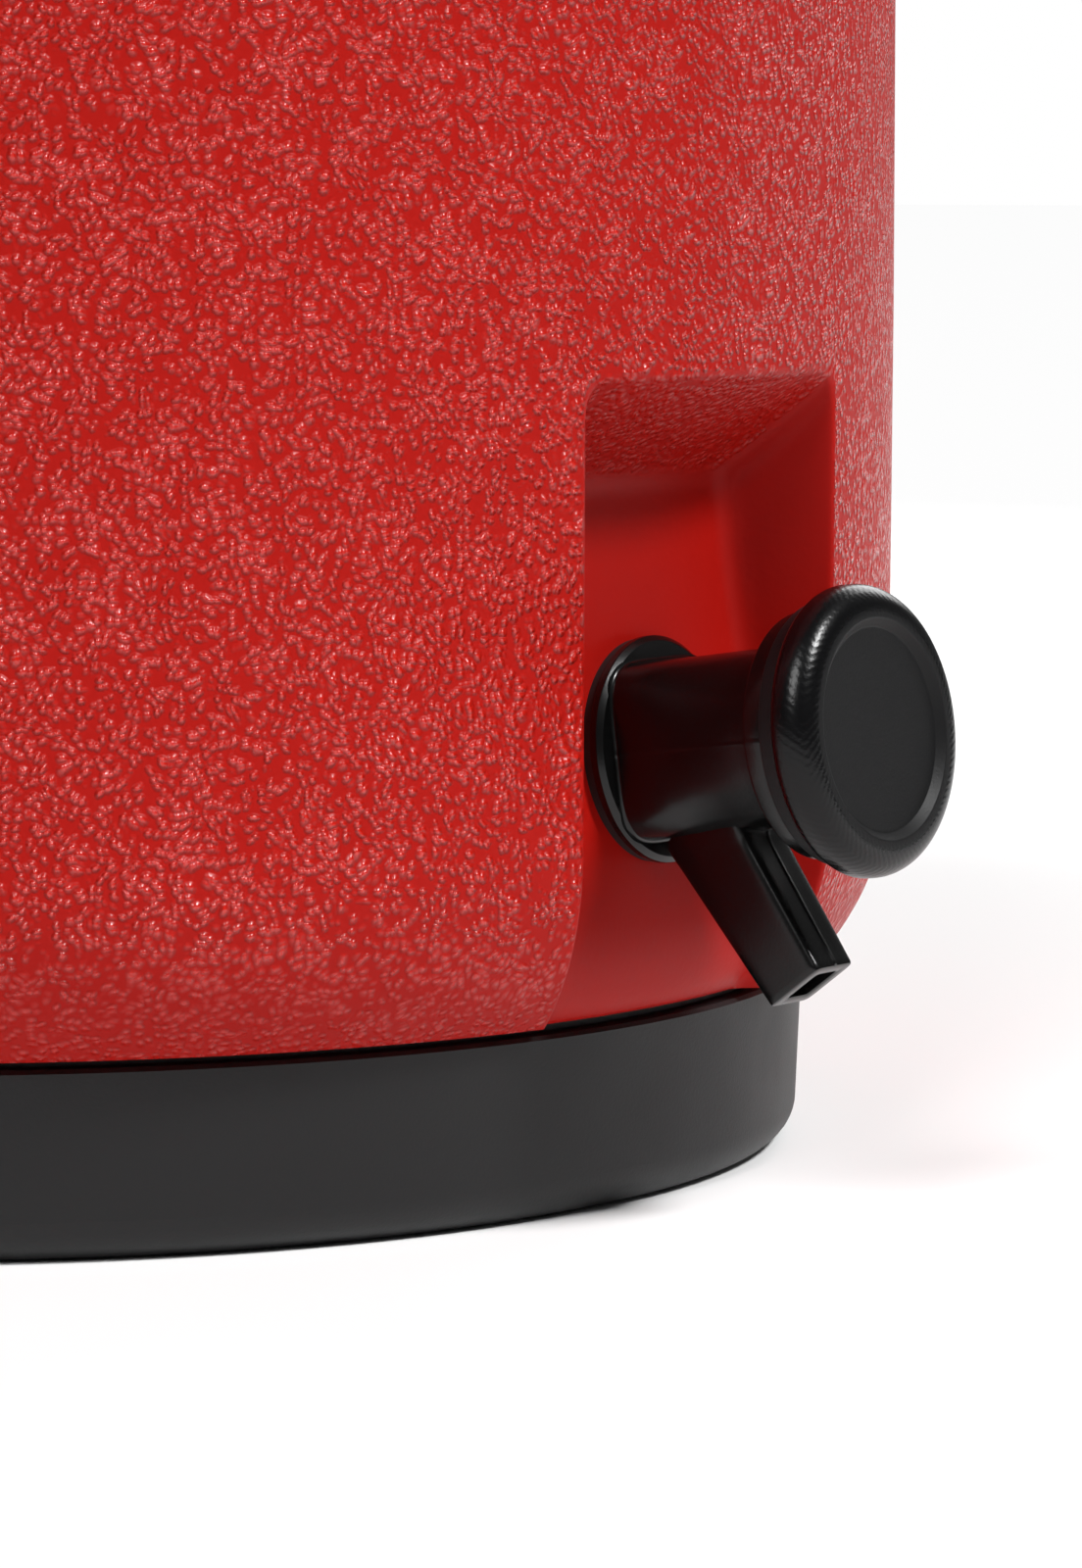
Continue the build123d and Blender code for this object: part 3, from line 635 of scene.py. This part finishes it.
def push_button():
    """A cap's outline turned about the tap's axis. The phase is the number of ribs times the
    angle, plus a part that grows both ways from the crest of the roll, which folds the ribs."""
    ribs, slant, crest = 96, 14, 0.75
    rim_inner_r, rim_back, fade = 17.3 * mm, 38 * mm, 0.8 * mm
    roll_r, roll_along = 18.6 * mm, 41.2 * mm
    outline = mm * rounded([
        (0.01, 41, 0), (19.6, 41, 0.4), (19.6, 34.8, 0.2), (20.5, 34.8, 0.3), (20.5, 37.8, 0.3),
        (22.6, 37.9, 1.7), (22.6, 44.5, 4.1), (17.1, 44.5, 0.5), (15.8, 43.3, 0.5), (0.01, 43.3, 0)],
        closed=True, steps=12)
    angle = np.linspace(0, 2 * np.pi, 256, endpoint=False)[None, :]
    radius, along = outline[:, :1] + 0 * angle, outline[:, 1:] + 0 * angle
    rim = ramp(radius, rim_inner_r, fade) * ramp(along, rim_back, fade)
    fold = np.arctan2(along - roll_along, radius - roll_r)
    phase = ribs * angle + slant * np.abs(fold - crest)
    return about_tap("button_cap", radius, along, angle + 0 * radius, sharp_deg=40, rim=rim,
                     phase=phase)


finish_piece(push_button(), "push_button", chevron_plastic(), ["push_button"])


# %% [markdown]
# The spring behind the button is a real coil: a circle swept along a helix whose pitch closes
# up at both ends.

# %% Return spring
spring_seat, spring_top = 22.3 * mm, 40.8 * mm


def coil():
    """A wire of circular section round the helix foot + along(t) * out + r * (cos, sin)(t)."""
    turns, wire_r, coil_r = 7.5, 0.62 * mm, 5.9 * mm
    steps, end_pitch = 420, 0.12
    start, end = spring_seat + wire_r, spring_top - wire_r
    t = np.linspace(0, 1, steps)
    closing = np.clip(np.minimum(t, 1 - t) * turns, 0, 1)
    advance = np.cumsum(end_pitch + (1 - end_pitch) * closing)
    along = start + (end - start) * (advance - advance[0]) / (advance[-1] - advance[0])
    turn = 2 * np.pi * turns * t
    radial = np.cos(turn)[:, None] * sideways + np.sin(turn)[:, None] * tap_up
    spine = tap_foot + along[:, None] * tap_out + coil_r * radial
    round_wire = np.linspace(0, 2 * np.pi, 12, endpoint=False)
    ring_size = np.full(steps, wire_r)
    ring_size[[0, -1]] *= 0.02
    ring = (np.cos(round_wire)[None, :, None] * radial[:, None]
            + np.sin(round_wire)[None, :, None] * tap_out)
    points = spine[:, None] + ring_size[:, None, None] * ring
    return grid_mesh("spring_coil", points, sharp_deg=60)


spring = finish_piece(coil(), "root", spring_steel, ["return_spring"])
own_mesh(spring)


# %% [markdown]
# ## Collar and lid
# The collar is a plain ring with rounded edges. The lid is a shallow dome with a dished top
# and a lip, and the lip is scalloped for the fingers: its radius falls by a cosine's positive
# half, twenty-four times round.

# %% Collar and lid
collar = turned("collar_skin", mm * rounded([
    (127.4, 398, 0.4), (147.6, 398, 0.6), (150, 400.4, 1.5), (149.2, 407.6, 1.5), (146.8, 410, 1.5),
    (127.4, 410, 0.4)], closed=True), 256)
finish_piece(collar, "root", lid_plastic, ["top_collar"])


def lid_skin():
    """An outline turned about Z, whose radius falls on the lip by the scallop depth times
    the positive half of cos(scallops * angle), raised to a power that flattens it."""
    scallops, scallop_depth, lip_inner_r = 24, 1.8 * mm, 141 * mm
    shell = mm * rounded([
        (137, 410.4, 0.3), (145.2, 410.4, 0.8), (146, 411.4, 0.8), (146, 415.6, 1.6),
        (140.6, 417.2, 1.2), (140, 450.2, 9), (134.5, 462.2, 5), (104, 466.1, 1.6),
        (102.4, 464.6, 1.6), (30.5, 466.4, 1.0), (29.5, 467.2, 1.0), (0.01, 467.6, 0)], steps=9)
    inner_side = np.array([(0.01, 463.9), (60, 463.0), (100, 461.0), (124, 458.6), (131, 455.4),
                           (136, 449.5), (137, 443)]) * mm
    outline = np.vstack([shell, inner_side])
    angle = np.linspace(0, 2 * np.pi, 384, endpoint=False)[None, :]
    radius, height = outline[:, :1] + 0 * angle, outline[:, 1:] + 0 * angle
    lip = ramp(radius, lip_inner_r, 3 * mm)
    radius = radius - scallop_depth * lip * np.clip(np.cos(scallops * angle), 0, 1) ** 0.7
    points = np.dstack([radius * np.cos(angle), radius * np.sin(angle), height])
    return grid_mesh("lid_skin", points, wrap_rows=True, sharp_deg=40)


finish_piece(lid_skin(), "lid", lid_plastic, ["lid_shell"])

# %% [markdown]
# ## Tyres and carry handles
# A tyre's tread is a row of slanted grooves. The groove's depth is a smooth step of a sine
# whose phase slants across the tread one way and back.

# %% Tyres
def tyre(side):
    """A section turned about the axle. Its radius falls by the groove depth times a soft step
    of sin(grooves * angle + slant * |across|), away from the middle rib."""
    grooves, slant, groove_depth, inner_r = 30, 2.6, 1.3 * mm, 31 * mm
    low, high = box(f"wheel_tyre_{side}")
    centre, half, outer_r = (low + high) / 2, (high[0] - low[0]) / 2, (high[2] - low[2]) / 2
    section = rounded([(inner_r, -half, 0.4 * mm), (outer_r, -half, 4 * mm), (outer_r, -half / 3, 0),
                       (outer_r, 0, 0), (outer_r, half / 3, 0), (outer_r, half, 4 * mm),
                       (inner_r, half, 0.4 * mm)], closed=True)
    angle = np.linspace(0, 2 * np.pi, 480, endpoint=False)[None, :]
    radius, across = section[:, :1] + 0 * angle, section[:, 1:] + 0 * angle
    phase = grooves * angle + slant * np.abs(across) / half
    groove = soft_step(ramp(np.sin(phase), 0.55, 0.3)) * ramp(radius, outer_r - 3 * mm, 2 * mm)
    off_middle = ramp(np.abs(across) / half, 0.12, 0.12)
    radius = radius - groove_depth * groove * off_middle
    points = np.dstack([centre[0] + across, centre[1] + radius * np.cos(angle),
                        centre[2] + radius * np.sin(angle)])
    return grid_mesh(f"tyre_{side}", points, wrap_rows=True, sharp_deg=40)


for side in ("left", "right"):
    finish_piece(tyre(side), f"wheel_{side}", tyre_rubber, [f"wheel_tyre_{side}"])


# %% [markdown]
# A carry handle is a section swept down one arm, round a bend, along the grip and back up.
# The section goes from a flat bar in the arms to a round grip with shallow finger waves. Two
# eyes turn on the bracket's pins.

# %% Carry handles
pivot_r, eye_y, pivot_z, grip_z = 3.1 * mm, 50.5 * mm, 380 * mm, 300 * mm


def bail(side, x):
    """The handle's sweep: spine points, with a superellipse section whose size, squareness
    and waves change with the distance from the middle of the grip."""
    bend_r, wave_height, wave_length = 12 * mm, 0.45 * mm, 21 * mm
    down = np.linspace(pivot_z - 6.0 * mm, grip_z + bend_r, 20)
    turn = np.linspace(0, np.pi / 2, 14)[1:]
    arm = np.column_stack([np.full(20, -eye_y), down])
    corner = np.column_stack([-eye_y + bend_r * (1 - np.cos(turn)), grip_z + bend_r * (1 - np.sin(turn))])
    grip = np.column_stack([np.linspace(-eye_y + bend_r, 0, 48)[1:], np.full(47, grip_z)])
    half = np.vstack([arm, corner, grip])
    spine = np.vstack([half, half[-2::-1] * (-1, 1)])
    tangent = np.gradient(spine, axis=0)
    tangent /= np.linalg.norm(tangent, axis=1)[:, None]
    inward = np.column_stack([-tangent[:, 1], tangent[:, 0]])
    to_grip = soft_step(ramp(eye_y - np.abs(spine[:, :1]), 1.5 * mm, 14 * mm))
    wave = wave_height * np.cos(2 * np.pi * spine[:, :1] / wave_length) * to_grip
    half_x = 5 * mm + to_grip * 5.5 * mm
    half_in = 4 * mm + to_grip * 6.5 * mm + wave
    power = 6 - 3.7 * to_grip
    angle = np.linspace(0, 2 * np.pi, 64, endpoint=False)[None, :]
    reach = superellipse(angle, half_x, half_in, power)
    reach[[0, -1]] *= 0.02
    aside = reach * np.cos(angle)
    off = (reach * np.sin(angle))[..., None] * inward[:, None]
    points = np.dstack([x + aside, spine[:, :1] + off[..., 0], spine[:, 1:] + off[..., 1]])
    return grid_mesh(f"carry_bail_{side}", points, sharp_deg=50)


for side, x in (("left", -170 * mm), ("right", 170 * mm)):
    parts = [bail(side, x)]
    for end, y in (("front", -eye_y), ("back", eye_y)):
        eye = rounded([(pivot_r, y - 4 * mm, 0.3 * mm), (8 * mm, y - 4 * mm, 0.8 * mm),
                       (8 * mm, y + 4 * mm, 0.8 * mm), (pivot_r, y + 4 * mm, 0.3 * mm)], closed=True)
        parts.append(turned(f"carry_eye_{side}_{end}", eye, 72, (x, 0, pivot_z), (0, 1, 0)))
    for part in parts:
        finish_piece(part, f"carry_{side}", handle_plastic,
                     [f"carry_handle_{side}"] if part is parts[0] else ())


# %% [markdown]
# ## Floor, light and camera
# A pale floor and two soft suns, as two large softboxes give: one high in front, which reaches
# into the recess, and a weaker, softer one from the left. A small lamp from the right and
# behind draws the thin bright edge down the black base and the tap. The world is white where
# the camera sees it, as the paper is, and a weak fill everywhere else.

# %% Stage
def stage_floor():
    """One square of matt paper at z = 0, wide enough to reach past every view."""
    mesh = bpy.data.meshes.new("studio_floor")
    half = 30.0
    corners = [(-half, -half, 0), (half, -half, 0), (half, half, 0), (-half, half, 0)]
    mesh.from_pydata(corners, [], [(0, 1, 2, 3)])
    mesh.materials.append(new_material("pale_paper", "#F4F4F4", 0.75)[0])
    floor = bpy.data.objects.new("studio_floor", mesh)
    bpy.context.scene.collection.objects.link(floor)


def lamp_from(name, kind, direction_deg, elevation_deg, distance, **settings):
    """A lamp that faces the tap from a direction round the cooler and a height above it."""
    a, e = math.radians(direction_deg), math.radians(elevation_deg)
    back = Vector((math.sin(a) * math.cos(e), -math.cos(a) * math.cos(e), math.sin(e)))
    lamp = bpy.data.lights.new(name, kind)
    for setting, value in settings.items():
        setattr(lamp, setting, value)
    light = bpy.data.objects.new(name, lamp)
    light.location = Vector((0, -0.1, 0.1)) + back * distance
    light.rotation_mode = "QUATERNION"
    light.rotation_quaternion = back.to_track_quat("Z", "Y")
    bpy.context.scene.collection.objects.link(light)
    print(name, kind, direction_deg, elevation_deg)


stage_floor()
lamp_from("front_key", "SUN", 12, 51, 2.0, angle=math.radians(11), energy=3.0)
lamp_from("left_key", "SUN", -78, 45, 2.0, angle=math.radians(26), energy=1.5)
lamp_from("edge_light", "AREA", 100, 28, 1.7, size=0.8, energy=8)

world = bpy.data.worlds.new("white_studio")
bpy.context.scene.world = world
world.use_nodes = True
sky = world.node_tree.nodes["Background"]
sky.inputs["Color"].default_value = linear("#FFFFFF")
seen = add(world.node_tree, "LightPath")
strength = add(world.node_tree, "MapRange", {"Value": seen.outputs["Is Camera Ray"],
                                             "To Min": 0.10, "To Max": 1.0})
world.node_tree.links.new(strength.outputs[0], sky.inputs["Strength"])
bpy.context.scene.view_settings.view_transform = "Standard"

# %% [markdown]
# The camera stands to the left of the tap and a little above it, with a long lens, so that
# the drum's foot and the tap fill the frame.

# %% Camera
camera_data = bpy.data.cameras.new("camera")
camera_data.lens, camera_data.sensor_width = 139.86, 36.0
camera_data.clip_start, camera_data.clip_end = 0.05, 60.0
camera = bpy.data.objects.new("camera", camera_data)
camera.location = (-0.7815, -0.6841, 0.1617)
look = Vector((0.8059, 0.5838, -0.0991))
camera.rotation_mode = "QUATERNION"
camera.rotation_quaternion = look.to_track_quat("-Z", "Y")
bpy.context.scene.collection.objects.link(camera)
bpy.context.scene.camera = camera
print("camera", [round(v, 3) for v in camera.location], camera_data.lens, "mm")
